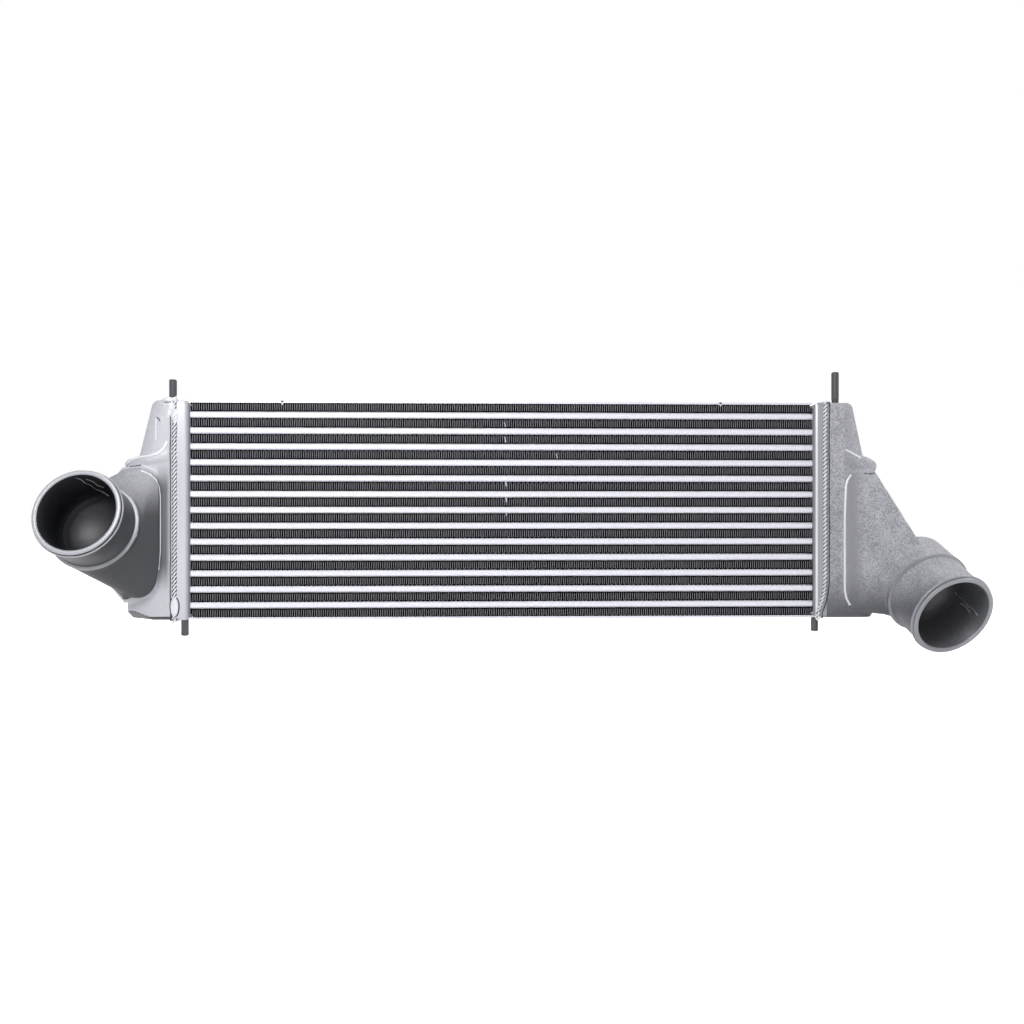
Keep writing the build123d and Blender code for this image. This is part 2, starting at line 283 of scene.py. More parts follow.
class PinSizes(bpy.types.PropertyGroup):
    """Sizes of the steel mounting pins."""

    radius: length("Radius", "Radius of a pin", 4.0 * MM)
    edge: length("Edge", "Bevel round a pin's end", 0.7 * MM)
    groove: length("Groove", "Depth of a turned groove", 0.35 * MM)


class Finishes(bpy.types.PropertyGroup):
    """Colours of the metals and of the floor."""

    tube: colour("Tube sheet", "Brazed aluminium sheet of the tubes", "#D8D8E2")
    tube_edge: colour("Tube edge", "Lighter edges of the tubes", "#EEEEF6")
    # Painted shade: the near-black colour of the fins' sides
    fin_side_shade: colour("Fin side", "Aluminium strip inside the narrow folds", "#141518")
    fin_edge: colour("Fin edge", "Cut edges of the fin strip", "#8E8F95")
    side_plate: colour("Side plate", "Folded aluminium sheet", "#DCDCE6")
    pan: colour("Pan", "Pressed aluminium sheet of the left pan", "#C9CAD2")
    # Painted shade: the pans' bend beside the tubes
    pan_bend_shade: colour("Pan bend", "Header pan, in the bend beside the tubes", "#8B8C93")
    dull_pan: colour("Pan, dull", "Pressed aluminium sheet of the right pan", "#A2A3AA")
    bead: colour("Weld bead", "Aluminium weld metal", "#DADBE0")
    smooth_cast: colour("Casting, smooth", "Light skin of the left casting", "#C6C7CE")
    # Painted shade: the left duct's darker skin, lighter at its top and darker low down
    shaded_duct_top: colour("Dull casting, top", "Left casting's dull skin, at the top of the duct", "#A2A3A9")
    shaded_duct: colour("Casting, dull", "Dark skin of the left duct's slope and pipe", "#36373B")
    # Painted shade: the left casting's front between duct and weld, and the right casting low down
    hollow_shade: colour("Casting, hollow", "Dull skin in the castings' hollows", "#606168")
    rough_cast: colour("Casting, rough", "Light grains of the right casting", "#BFC0C7")
    # Dark grains of the casting, and painted shade beside the right duct's rib
    pits_and_shade: colour("Casting, pits", "Dark grains of the right casting", "#94959B")
    turned: colour("Turned", "Turned rings of the left spigot", "#ABACB2")
    dull_turned: colour("Turned, dull", "Turned rings of the right spigot", "#97989E")
    # Painted shade: the castings' insides, deeper on the left
    passage: colour("Passage", "Inside of the right casting", "#626368")
    deep_inside_shade: colour("Passage, sooty", "Inside of the left casting", "#242529")
    # Partly weld oxide, partly painted shade in undercuts, grooves and under ledges
    burn_and_shade: colour("Oxide", "Burnt line beside the weld beads", "#3A3A3E")
    # Partly bare metal, partly painted highlight on the castings' edges and the right pan's bend
    worn_and_highlight: colour("Rubbed edge", "Bare metal on the castings' edges", "#E6E7EC")
    steel: colour("Steel", "Phosphated steel of the pins", "#515155")
    floor: colour("Floor", "Floor under the cooler", "#F4F4F4")


class StudioSizes(bpy.types.PropertyGroup):
    """Strengths and sizes of the studio."""

    ambient: amount("Ambient", "Strength of the light from all round", 0.07)
    key: amount("Key light", "Watts of the large light", 11.5)
    fill: amount("Fill light", "Watts of the weak light", 3)
    side: amount("Side light", "Watts of the light at the right", 14)
    back: amount("Back light", "Watts of the light behind", 40)
    floor_glow: amount("Floor glow", "Own light of the floor in the picture", 0.94)
    lens: amount("Lens", "Focal length in millimetres", 38.064, 1)


class CoolerSettings(bpy.types.PropertyGroup):
    """All sizes and colours of the cooler and its studio."""

    core: PointerProperty(type=CoreSizes)
    bead: PointerProperty(type=BeadSizes)
    casting: PointerProperty(type=CastingSizes)
    pin: PointerProperty(type=PinSizes)
    finish: PointerProperty(type=Finishes)
    studio: PointerProperty(type=StudioSizes)


def add_node(tree, kind, settings=None, links=None):
    """Adds a shader node with its settings, and the links into its sockets."""
    node = tree.nodes.new(kind)
    for name, value in (settings or {}).items():
        if name in node.inputs:
            node.inputs[name].default_value = value
        elif name == "stops":
            ramp = node.color_ramp.elements
            while len(ramp) < len(value):
                ramp.new(1.0)
            for element, (position, shade) in zip(ramp, value):
                element.position = position
                element.color = shade
        else:
            setattr(node, name, value)
    for name, source in (links or {}).items():
        tree.links.new(source, node.inputs[name])
    return node


def new_metal(name, base, metallic, roughness):
    """A material with its shader's own values set; returns it, its tree and its shader."""
    material = bpy.data.materials.new(name)
    material.use_nodes = True
    tree = material.node_tree
    shader = tree.nodes["Principled BSDF"]
    shader.inputs["Base Color"].default_value = base
    shader.inputs["Metallic"].default_value = metallic
    shader.inputs["Roughness"].default_value = roughness
    material.diffuse_color = base
    return material, tree, shader


def per_metre(millimetres):
    """The scale of a pattern whose features have this size."""
    return 1 / (millimetres * MM)


def grained(tree, shader, source, size, detail, strength, depth):
    """A felt grain of this size and depth in millimetres; returns its height."""
    grain = add_node(
        tree, "ShaderNodeTexNoise", {"Scale": per_metre(size), "Detail": detail}, {"Vector": source}
    )
    bump = add_node(
        tree,
        "ShaderNodeBump",
        {"Strength": strength, "Distance": depth * MM},
        {"Height": grain.outputs["Fac"]},
    )
    tree.links.new(bump.outputs["Normal"], shader.inputs["Normal"])
    return grain.outputs["Fac"]


def tube_sheet(finish):
    # Clad aluminium sheet, brazed in a furnace: a satin sheen with fine mottling, lighter and
    # darker at random.
    material, tree, shader = new_metal("clad_aluminium_sheet", finish.tube, 0.3, 0.4)
    place = add_node(tree, "ShaderNodeTexCoord")
    grain = grained(tree, shader, place.outputs["Object"], 1.6, 3, 0.25, 0.1)
    shade = add_node(
        tree,
        "ShaderNodeValToRGB",
        {"stops": ((0.3, finish.tube), (0.75, finish.tube_edge))},
        {"Fac": grain},
    )
    tree.links.new(shade.outputs["Color"], shader.inputs["Base Color"])
    return material


def shaded_fin_strip(finish):
    # Aluminium foil, rolled and folded: bright by itself, but so close together that its sides
    # stay in each other's shade. Real foil is some 0.1 mm thick, too fine to show, so it is
    # drawn thicker, and its sides are painted near black without a sheen: painted shade.
    material, _, shader = new_metal("fin_strip_painted_shade", finish.fin_side_shade, 0.0, 0.8)
    shader.inputs["Specular IOR Level"].default_value = 0.0
    return material


def fin_edge(finish):
    # The same foil's cut edges, which catch the light as fine lines.
    return new_metal("cut_aluminium_edge", finish.fin_edge, 0.1, 0.5)[0]


def folded_sheet(finish):
    # Bare aluminium sheet, folded: satin with a fine rolled grain along its length.
    material, tree, shader = new_metal("folded_aluminium_sheet", finish.side_plate, 0.3, 0.4)
    place = add_node(tree, "ShaderNodeTexCoord")
    along = add_node(
        tree, "ShaderNodeMapping", {"Scale": (0.05, 1.0, 1.0)}, {"Vector": place.outputs["Object"]}
    )
    grained(tree, shader, along.outputs["Vector"], 0.8, 2, 0.2, 0.05)
    return material


def pan_skin(name, base, bend, joint, inwards):
    """Deep-drawn sheet with a fine grain, darker in the bend beside the tubes: painted shade."""
    material, tree, shader = new_metal(name, base, 0.1, 0.27)
    place = add_node(tree, "ShaderNodeTexCoord")
    grained(tree, shader, place.outputs["Object"], 2.5, 4, 0.2, 0.15)
    plain = add_node(tree, "ShaderNodeRGB")
    plain.outputs[0].default_value = base
    # Painted shade, darkening the bend towards the tubes
    beside = ramp(tree, place, "X", joint + inwards * 8.5 * MM, joint + inwards * 13 * MM)
    skin = tint(tree, shader, plain.outputs[0], bend, [beside])
    return material, tree, shader, place, skin


def pressed_sheet(finish):
    # Aluminium sheet, deep drawn and brushed clean after brazing: smooth and light, with painted
    # shade darkening the bend.
    return pan_skin("brushed_aluminium_sheet", finish.pan, finish.pan_bend_shade, JOINTS["left"], 1)[0]


def dull_sheet(finish):
    # The same sheet in a darker grey than the left pan: smooth and a little dull, with a painted
    # highlight, a bright line where the bend begins.
    joint = JOINTS["right"]
    material, tree, shader, place, skin = pan_skin(
        "drawn_aluminium_sheet", finish.dull_pan, finish.pan_bend_shade, joint, -1
    )
    # A painted highlight: a bright line across the start of the bend
    line = [
        ramp(tree, place, "X", joint - 9 * MM, joint - 10 * MM),
        ramp(tree, place, "X", joint - 11.8 * MM, joint - 10.8 * MM),
    ]
    tint(tree, shader, skin, finish.worn_and_highlight, line)
    return material


def weld_metal(finish):
    # Aluminium weld metal, laid by hand with an arc: bright, clean and rippled.
    return new_metal("aluminium_weld_metal", finish.bead, 0.3, 0.3)[0]


def burnt_and_shaded_edge(finish):
    # Oxide and soot beside the bead, and painted shade in the undercut, between the ripples, in the left
    # spigot's groove and along the castings' dark lines: dark and matt.
    return new_metal("weld_burn_and_painted_shade", finish.burn_and_shade, 0.0, 0.7)[0]


def cast_skin(name, light, dark, grain, depth):
    """The skin of a casting, with soft clouds and grains of this size and depth in millimetres."""
    material, tree, shader = new_metal(name, light, 0.1, 0.5)
    place = add_node(tree, "ShaderNodeTexCoord")
    clouds, sand = [
        add_node(
            tree,
            "ShaderNodeTexNoise",
            {"Scale": per_metre(size), "Detail": detail},
            {"Vector": place.outputs["Object"]},
        )
        for size, detail in ((14, 4), (grain, 5))
    ]
    both = add_node(
        tree, "ShaderNodeMix", {"Factor": 0.75}, {"A": clouds.outputs["Fac"], "B": sand.outputs["Fac"]}
    )
    shade = add_node(
        tree,
        "ShaderNodeValToRGB",
        {"stops": ((0.42, dark), (0.58, light))},
        {"Fac": both.outputs["Result"]},
    )
    soft = add_node(
        tree, "ShaderNodeBump", {"Strength": 0.3, "Distance": 0.6 * MM}, {"Height": clouds.outputs["Fac"]}
    )
    rough = add_node(
        tree,
        "ShaderNodeBump",
        {"Strength": 0.8, "Distance": depth * MM},
        {"Height": sand.outputs["Fac"], "Normal": soft.outputs["Normal"]},
    )
    tree.links.new(shade.outputs["Color"], shader.inputs["Base Color"])
    tree.links.new(rough.outputs["Normal"], shader.inputs["Normal"])
    return material, tree, shader, place, shade


def ramp(tree, place, axis, start, end):
    """Nought at one place along an axis and one at the other, smooth between them."""
    apart = add_node(tree, "ShaderNodeSeparateXYZ", None, {"Vector": place.outputs["Object"]})
    return add_node(
        tree,
        "ShaderNodeMapRange",
        {"interpolation_type": "SMOOTHSTEP", "From Min": start, "From Max": end},
        {"Value": apart.outputs[axis]},
    ).outputs["Result"]


def tint(tree, shader, base, colour_in, masks):
    """Mixes a second colour into the skin where all the masks are one."""
    mask = masks[0]
    for other in masks[1:]:
        mask = add_node(
            tree, "ShaderNodeMath", {"operation": "MULTIPLY"}, {0: mask, 1: other}
        ).outputs[0]
    mix = add_node(tree, "ShaderNodeMix", {"data_type": "RGBA"}, {"Factor": mask})
    tree.links.new(base, mix.inputs[6])
    mix.inputs[7].default_value = colour_in
    tree.links.new(mix.outputs[2], shader.inputs["Base Color"])
    return mix.outputs[2]


def rough_cast(finish):
    # Aluminium cast in coarse sand and left raw: the skin copies the sand's grains, so it is matt,
    # with soft lighter and darker clouds and single pits. A darker band on the front beside the
    # duct's rib, and the darkening towards the bottom, are painted shade.
    material, tree, shader, place, shade = cast_skin(
        "coarse_sand_casting", finish.rough_cast, finish.pits_and_shade, 1.5, 2.2
    )
    joint = JOINTS["right"]
    # Painted shade: a darker band on the front beside the duct's rib
    beside = [
        ramp(tree, place, "X", joint + 17 * MM, joint + 20 * MM),
        ramp(tree, place, "X", joint + 38 * MM, joint + 24 * MM),
        ramp(tree, place, "Y", CENTRE.y - 40 * MM, CENTRE.y - 46 * MM),
    ]
    skin = tint(tree, shader, shade.outputs["Color"], finish.pits_and_shade, beside)
    # Painted shade: darker towards the bottom
    low = ramp(tree, place, "Z", CENTRE.z - 60 * MM, CENTRE.z - 110 * MM)
    tint(tree, shader, skin, finish.hollow_shade, [low])
    return material


def smooth_cast(finish):
    # Aluminium cast in fine sand: a lighter and smoother skin, with painted shade on the front
    # between duct and weld.
    material, tree, shader, place, shade = cast_skin(
        "fine_sand_casting", finish.smooth_cast, finish.rough_cast, 1.6, 0.5
    )
    joint = JOINTS["left"]
    # Painted shade on the front between duct and weld
    hollow_shade = [
        ramp(tree, place, "X", joint - 4 * MM, joint - 10 * MM),
        ramp(tree, place, "X", joint - 20 * MM, joint - 16 * MM),
        ramp(tree, place, "Z", CENTRE.z - 88 * MM, CENTRE.z - 50 * MM),
        ramp(tree, place, "Z", CENTRE.z + 50 * MM, CENTRE.z + 20 * MM),
        ramp(tree, place, "Y", CENTRE.y - 30 * MM, CENTRE.y - 38 * MM),
    ]
    tint(tree, shader, shade.outputs["Color"], finish.hollow_shade, hollow_shade)
    return material


def shaded_duct(finish):
    # The same fine casting with a smooth skin, darkened with painted shade on the left duct: much
    # darker low down and lighter towards the top of the duct.
    material, tree, shader, place, shade = cast_skin(
        "duct_painted_shade", finish.shaded_duct_top, finish.pits_and_shade, 2.0, 0.3
    )
    shader.inputs["Metallic"].default_value = 0.0
    # Painted shade: darker low down, lighter towards the top
    low = ramp(tree, place, "Z", CENTRE.z + 38 * MM, CENTRE.z - 10 * MM)
    tint(tree, shader, shade.outputs["Color"], finish.shaded_duct, [low])
    return material


def inner_skin(name, base):
    """The raw skin of a cast passage, darkened with painted shade."""
    material, tree, shader = new_metal(name, base, 0.1, 0.45)
    place = add_node(tree, "ShaderNodeTexCoord")
    grained(tree, shader, place.outputs["Object"], 3, 5, 0.4, 0.5)
    return material


def passage(finish):
    # The casting's inside, darkened with painted shade.
    return inner_skin("inside_painted_shade", finish.passage)


def deep_shaded_passage(finish):
    # The same on the left casting, in a deeper painted shade.
    return inner_skin("inside_deep_painted_shade", finish.deep_inside_shade)


def lathe_skin(name, base):
    """A turned face with the fine grain that the tool leaves."""
    material, tree, shader = new_metal(name, base, 0.2, 0.38)
    place = add_node(tree, "ShaderNodeTexCoord")
    grained(tree, shader, place.outputs["Object"], 1.4, 4, 0.3, 0.15)
    return material


def turned_metal(finish):
    # The left casting's rings, freshly turned on a lathe.
    return lathe_skin("turned_aluminium", finish.turned)


def dull_turned(finish):
    # The right casting's rings, turned, in a darker grey than the left ones.
    return lathe_skin("dull_turned_aluminium", finish.dull_turned)


def worn_and_highlit_edge(finish):
    # Bare aluminium where handling wore the casting's skin off its edges; on most of the bright lines, and
    # on the right pan's bend, it is a painted highlight.
    return new_metal("worn_aluminium_and_painted_highlight", finish.worn_and_highlight, 0.2, 0.4)[0]


def pin_steel(finish):
    # Steel bar, turned and phosphated: dark grey with a dull shine.
    return new_metal("phosphated_steel", finish.steel, 0.5, 0.25)[0]


MATERIALS = {}


def metal(recipe):
    """The material of a recipe, made when it is first asked for."""
    if recipe.__name__ not in MATERIALS:
        MATERIALS[recipe.__name__] = recipe(bpy.context.scene.cooler.finish)
    return MATERIALS[recipe.__name__]


def clear_selection():
    """Deselects all objects."""
    bpy.ops.object.select_all(action="DESELECT")


def take(piece):
    """Selects one object alone and makes it the active one."""
    clear_selection()
    piece.select_set(True)
    bpy.context.view_layer.objects.active = piece
    return piece


def select_where(piece, kind, test):
    """In edit mode, selects the vertices, edges or faces that pass a test, and no others."""
    bpy.ops.mesh.select_mode(type=kind)
    bpy.ops.mesh.select_all(action="DESELECT")
    shape = bmesh.from_edit_mesh(piece.data)
    for item in {"VERT": shape.verts, "EDGE": shape.edges, "FACE": shape.faces}[kind]:
        if test(item):
            item.select_set(True)
    shape.select_flush_mode()
    bmesh.update_edit_mesh(piece.data)


def runs_along_x(edge):
    """Whether an edge runs from side to side."""
    return abs(edge.verts[0].co.x - edge.verts[1].co.x) > MM


def settle(piece):
    """Puts the object's place and turn into its mesh."""
    take(piece)
    bpy.ops.object.transform_apply(location=True, rotation=True, scale=True)
    return piece


def draw_outline(points):
    """A chain of edges, drawn from point to point, as a new object at the origin."""
    clear_selection()
    bpy.ops.mesh.primitive_plane_add(size=MM)
    outline = bpy.context.object
    bpy.ops.object.mode_set(mode="EDIT")
    bpy.ops.mesh.select_mode(type="VERT")
    bpy.ops.mesh.select_all(action="SELECT")
    bpy.ops.mesh.merge(type="CENTER")
    bpy.ops.transform.translate(value=points[0])
    for start, end in zip(points, points[1:]):
        bpy.ops.mesh.extrude_vertices_move(TRANSFORM_OT_translate={"value": end - start})
    bpy.ops.object.mode_set(mode="OBJECT")
    return outline


def apply_modifier(piece, kind, **settings):
    """Adds a modifier with its settings and applies it."""
    take(piece)
    bpy.ops.object.modifier_add(type=kind)
    modifier = piece.modifiers[-1]
    for name, value in settings.items():
        setattr(modifier, name, value)
    bpy.ops.object.modifier_apply(modifier=modifier.name)


def repeat(piece, count, step, **settings):
    """Repeats an object in a row."""
    apply_modifier(
        piece,
        "ARRAY",
        count=count,
        use_relative_offset=False,
        use_constant_offset=True,
        constant_offset_displace=step,
        **settings,
    )


def wander_sideways(piece, noise, strength):
    """Lets an object wander sideways with a cloudy noise."""
    apply_modifier(
        piece,
        "DISPLACE",
        texture=noise,
        texture_coords="LOCAL",
        direction="X",
        strength=strength,
        mid_level=0.5,
    )


def cut_away(piece, cutter, **settings):
    """Cuts one object's form out of another and deletes it."""
    apply_modifier(
        piece, "BOOLEAN", operation="DIFFERENCE", object=cutter, solver="EXACT", **settings
    )
    take(cutter)
    bpy.ops.object.delete()


def edit_all():
    """Opens the active object in edit mode, with all of it selected."""
    bpy.ops.object.mode_set(mode="EDIT")
    bpy.ops.mesh.select_all(action="SELECT")


def join(pieces):
    """Joins objects into the first of them."""
    clear_selection()
    for piece in pieces:
        piece.select_set(True)
    bpy.context.view_layer.objects.active = pieces[0]
    bpy.ops.object.join()
    return pieces[0]


def turn_on_axis(points, centre, axis, steps):
    """Spins a drawn outline all round an axis, with its seam closed."""
    piece = draw_outline(points)
    edit_all()
    bpy.ops.mesh.spin(steps=steps, angle=2 * math.pi, center=centre, axis=axis)
    bpy.ops.mesh.select_all(action="SELECT")
    bpy.ops.mesh.remove_doubles(threshold=TOUCH)
    bpy.ops.mesh.normals_make_consistent(inside=False)
    bpy.ops.object.mode_set(mode="OBJECT")
    return piece


def finish_piece(piece, name, materials, nodes, smooth=35):
    """Names a finished piece, gives it its materials and ties it to the frame."""
    take(piece)
    piece.name = name
    piece.data.name = name
    if smooth:
        bpy.ops.object.shade_smooth_by_angle(angle=math.radians(smooth))
    for material in materials:
        piece.data.materials.append(material)
    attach(piece, "root")
    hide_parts(*nodes)


class COOLER_OT_tubes(bpy.types.Operator):
    """Gives the tubes and inner fins of the CAD model their metals"""

    bl_idname = "cooler.tubes"
    bl_label = "Tubes"

    def execute(self, context):
        # The inner fins take the strip's near-black colour: painted shade inside the tubes
        for names, recipe in ((TUBES, tube_sheet), (INNER_FINS, shaded_fin_strip)):
            for name in names:
                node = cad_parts[name]
                node.data.materials.clear()
                node.data.materials.append(metal(recipe))
        return {"FINISHED"}


class COOLER_OT_air_fins(bpy.types.Operator):
    """Folds one wave of the air fins, repeats it along a row and copies the row"""

    bl_idname = "cooler.air_fins"
    bl_label = "Air fins"

    def execute(self, context):
        sizes = context.scene.cooler.core
        low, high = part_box(AIR_FINS[0])
        wave = (high.x - low.x) / sizes.waves
        bend = wave / 4
        middle = (low.z + high.z) / 2
        leg = (high.z - low.z) / 2 - sizes.fin_sheet / 2 - bend
        points = [Vector((low.x, low.y, middle - leg))]
        for centre, facing in ((bend, 1), (3 * bend, -1)):
            for step in range(5):
                angle = math.pi * (1 - step / 4)
                across = low.x + centre + bend * math.cos(angle)
                points.append(Vector((across, low.y, middle + facing * (leg + bend * math.sin(angle)))))
        row = draw_outline(points)
        edit_all()
        half = (high.y - low.y) / 2
        seam = 0.05 * MM
        for sideways in (sizes.fin_kink, -sizes.fin_kink):
            bpy.ops.mesh.extrude_region_move(TRANSFORM_OT_translate={"value": (sideways, half, 0)})
        bpy.ops.object.mode_set(mode="OBJECT")
        repeat(row, sizes.waves, (wave, 0, 0), use_merge_vertices=True, merge_threshold=seam)
        apply_modifier(row, "SOLIDIFY", thickness=sizes.fin_sheet, offset=0, use_even_offset=True)
        # Only the straight legs of the front and back edges take the lighter edge colour; over the crests
        # the edges keep the strip's near-black colour, painted shade between crest and tube
        for face in row.data.polygons:
            straight = abs(face.center.z - middle) < sizes.bright_edge / 2
            if straight and not low.y + seam < face.center.y < high.y - seam:
                face.material_index = 1
        noise = bpy.data.textures.new("fin_wander", "CLOUDS")
        noise.noise_scale = 9 * MM
        for name in AIR_FINS:
            take(row)
            bpy.ops.object.duplicate()
            copy = context.object
            bpy.ops.transform.translate(value=(0, 0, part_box(name)[0].z - low.z))
            settle(copy)
            wander_sideways(copy, noise, sizes.fin_wander)
            pieces = [copy] + self.bent_folds(*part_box(name))
            for piece in pieces:
                for recipe in (shaded_fin_strip, fin_edge, tube_sheet):
                    piece.data.materials.append(metal(recipe))
            finish_piece(join(pieces), f"{name}_folds", (), [name], smooth=None)
        take(row)
        bpy.ops.object.delete()
        return {"FINISHED"}

    def bent_folds(self, low, high):
        """The bent folds of one row: slips of strip that stand askew in front."""
        slips = []
        for across, up in BENT_FOLDS:
            if low.z < CENTRE.z + up * MM < high.z:
                clear_selection()
                bpy.ops.mesh.primitive_cube_add(
                    size=1,
                    location=(CENTRE.x + across * MM, low.y + 0.4 * MM, CENTRE.z + up * MM),
                    rotation=(0, math.radians(-9), math.radians(20)),
                    scale=(1.1 * MM, 0.4 * MM, 5.2 * MM),
                )
                slip = settle(bpy.context.object)
                for face in slip.data.polygons:
                    face.material_index = 2
                slips.append(slip)
        return slips


class COOLER_OT_side_plates(bpy.types.Operator):
    """Folds the two side plates over the outer rows of fins and punches their notches"""

    bl_idname = "cooler.side_plates"
    bl_label = "Side plates"

    def execute(self, context):
        sizes = context.scene.cooler.core
        height = sizes.plate_sheet + sizes.plate_lip
        for name, facing in (("side_plate_bottom", -1), ("side_plate_top", 1)):
            low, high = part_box(name)
            outer = high.z if facing > 0 else low.z
            middle = Vector(((low.x + high.x) / 2, (low.y + high.y) / 2, outer - facing * height / 2))
            clear_selection()
            bpy.ops.mesh.primitive_cube_add(
                size=1, location=middle, scale=(high.x - low.x, high.y - low.y, height)
            )
            plate = settle(context.object)
            bpy.ops.object.mode_set(mode="EDIT")
            select_where(
                plate,
                "EDGE",
                lambda edge: all(abs(vert.co.z - outer) < TOUCH for vert in edge.verts)
                and runs_along_x(edge),
            )
            # A fold tighter than the sheet is thick would cross itself
            bpy.ops.mesh.bevel(offset=sizes.plate_sheet * 1.2, segments=4, profile=0.5, affect="EDGES")
            select_where(
                plate,
                "FACE",
                lambda face: face.normal.z * facing < -STRAIGHT or abs(face.normal.x) > STRAIGHT,
            )
            bpy.ops.mesh.delete(type="FACE")
            bpy.ops.object.mode_set(mode="OBJECT")
            apply_modifier(plate, "SOLIDIFY", thickness=sizes.plate_sheet, offset=-1)
            edit_all()
            bpy.ops.mesh.normals_make_consistent(inside=False)
            bpy.ops.object.mode_set(mode="OBJECT")
            pieces = [plate]
            spots = []
            if facing > 0:
                for across in NOTCHES:
                    spot = Vector((CENTRE.x + across * MM, low.y, high.z - 0.4 * height))
                    spots.append(spot)
                    cut_away(plate, self.prong(sizes.notch_width, 5 * MM, spot), use_self=True)
                    # Its tab stands just below it and a little further back
                    below = spot + Vector((0, 0.8 * MM, -0.9 * height))
                    pieces.append(self.prong(0.7 * sizes.notch_width, MM, below))
            for piece in pieces:
                for recipe in (folded_sheet, shaded_fin_strip):
                    piece.data.materials.append(metal(recipe))
            # Round each notch the plate takes the strip's near-black colour: painted shade in the notch
            for face in plate.data.polygons:
                if any((face.center - spot).length < sizes.notch_width for spot in spots):
                    face.material_index = 1
            finish_piece(join(pieces), f"{name}_folded", (), [name], smooth=40)
        return {"FINISHED"}

    def prong(self, width, depth, spot):
        """A three-sided prism with its edge downwards: the punch's point, or the tab it bends out."""
        clear_selection()
        # A triangle's corners lie 0.58 of its side from its centre
        bpy.ops.mesh.primitive_cylinder_add(
            vertices=3, radius=0.58 * width, depth=depth, location=spot, rotation=(math.radians(-90), 0, 0)
        )
        return settle(bpy.context.object)


class COOLER_OT_pans(bpy.types.Operator):
    """Presses the two header pans out of blocks"""

    bl_idname = "cooler.pans"
    bl_label = "Header pans"

    def execute(self, context):
        sizes = context.scene.cooler.core
        for word, side in SIDES.items():
            name = f"header_pan_{word}"
            low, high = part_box(name)
            floor = low.x if side > 0 else high.x
            clear_selection()
            bpy.ops.mesh.primitive_cube_add(size=1, location=(low + high) / 2, scale=high - low)
            pan = settle(context.object)
            bpy.ops.object.mode_set(mode="EDIT")
            select_where(pan, "EDGE", runs_along_x)
            bpy.ops.mesh.bevel(offset=sizes.pan_corner, segments=4, profile=0.5, affect="EDGES")
            select_where(
                pan, "EDGE", lambda edge: all(abs(vert.co.x - floor) < TOUCH for vert in edge.verts)
            )
            bpy.ops.mesh.bevel(offset=sizes.pan_edge, segments=5, profile=0.5, affect="EDGES")
            select_where(pan, "FACE", lambda face: face.normal.x * side > STRAIGHT)
            bpy.ops.mesh.delete(type="FACE")
            bpy.ops.object.mode_set(mode="OBJECT")
            apply_modifier(pan, "SOLIDIFY", thickness=sizes.pan_sheet, offset=-1)
            sheet = metal(pressed_sheet if side < 0 else dull_sheet)
            finish_piece(pan, f"{name}_pressed", (sheet,), [name], smooth=40)
        return {"FINISHED"}


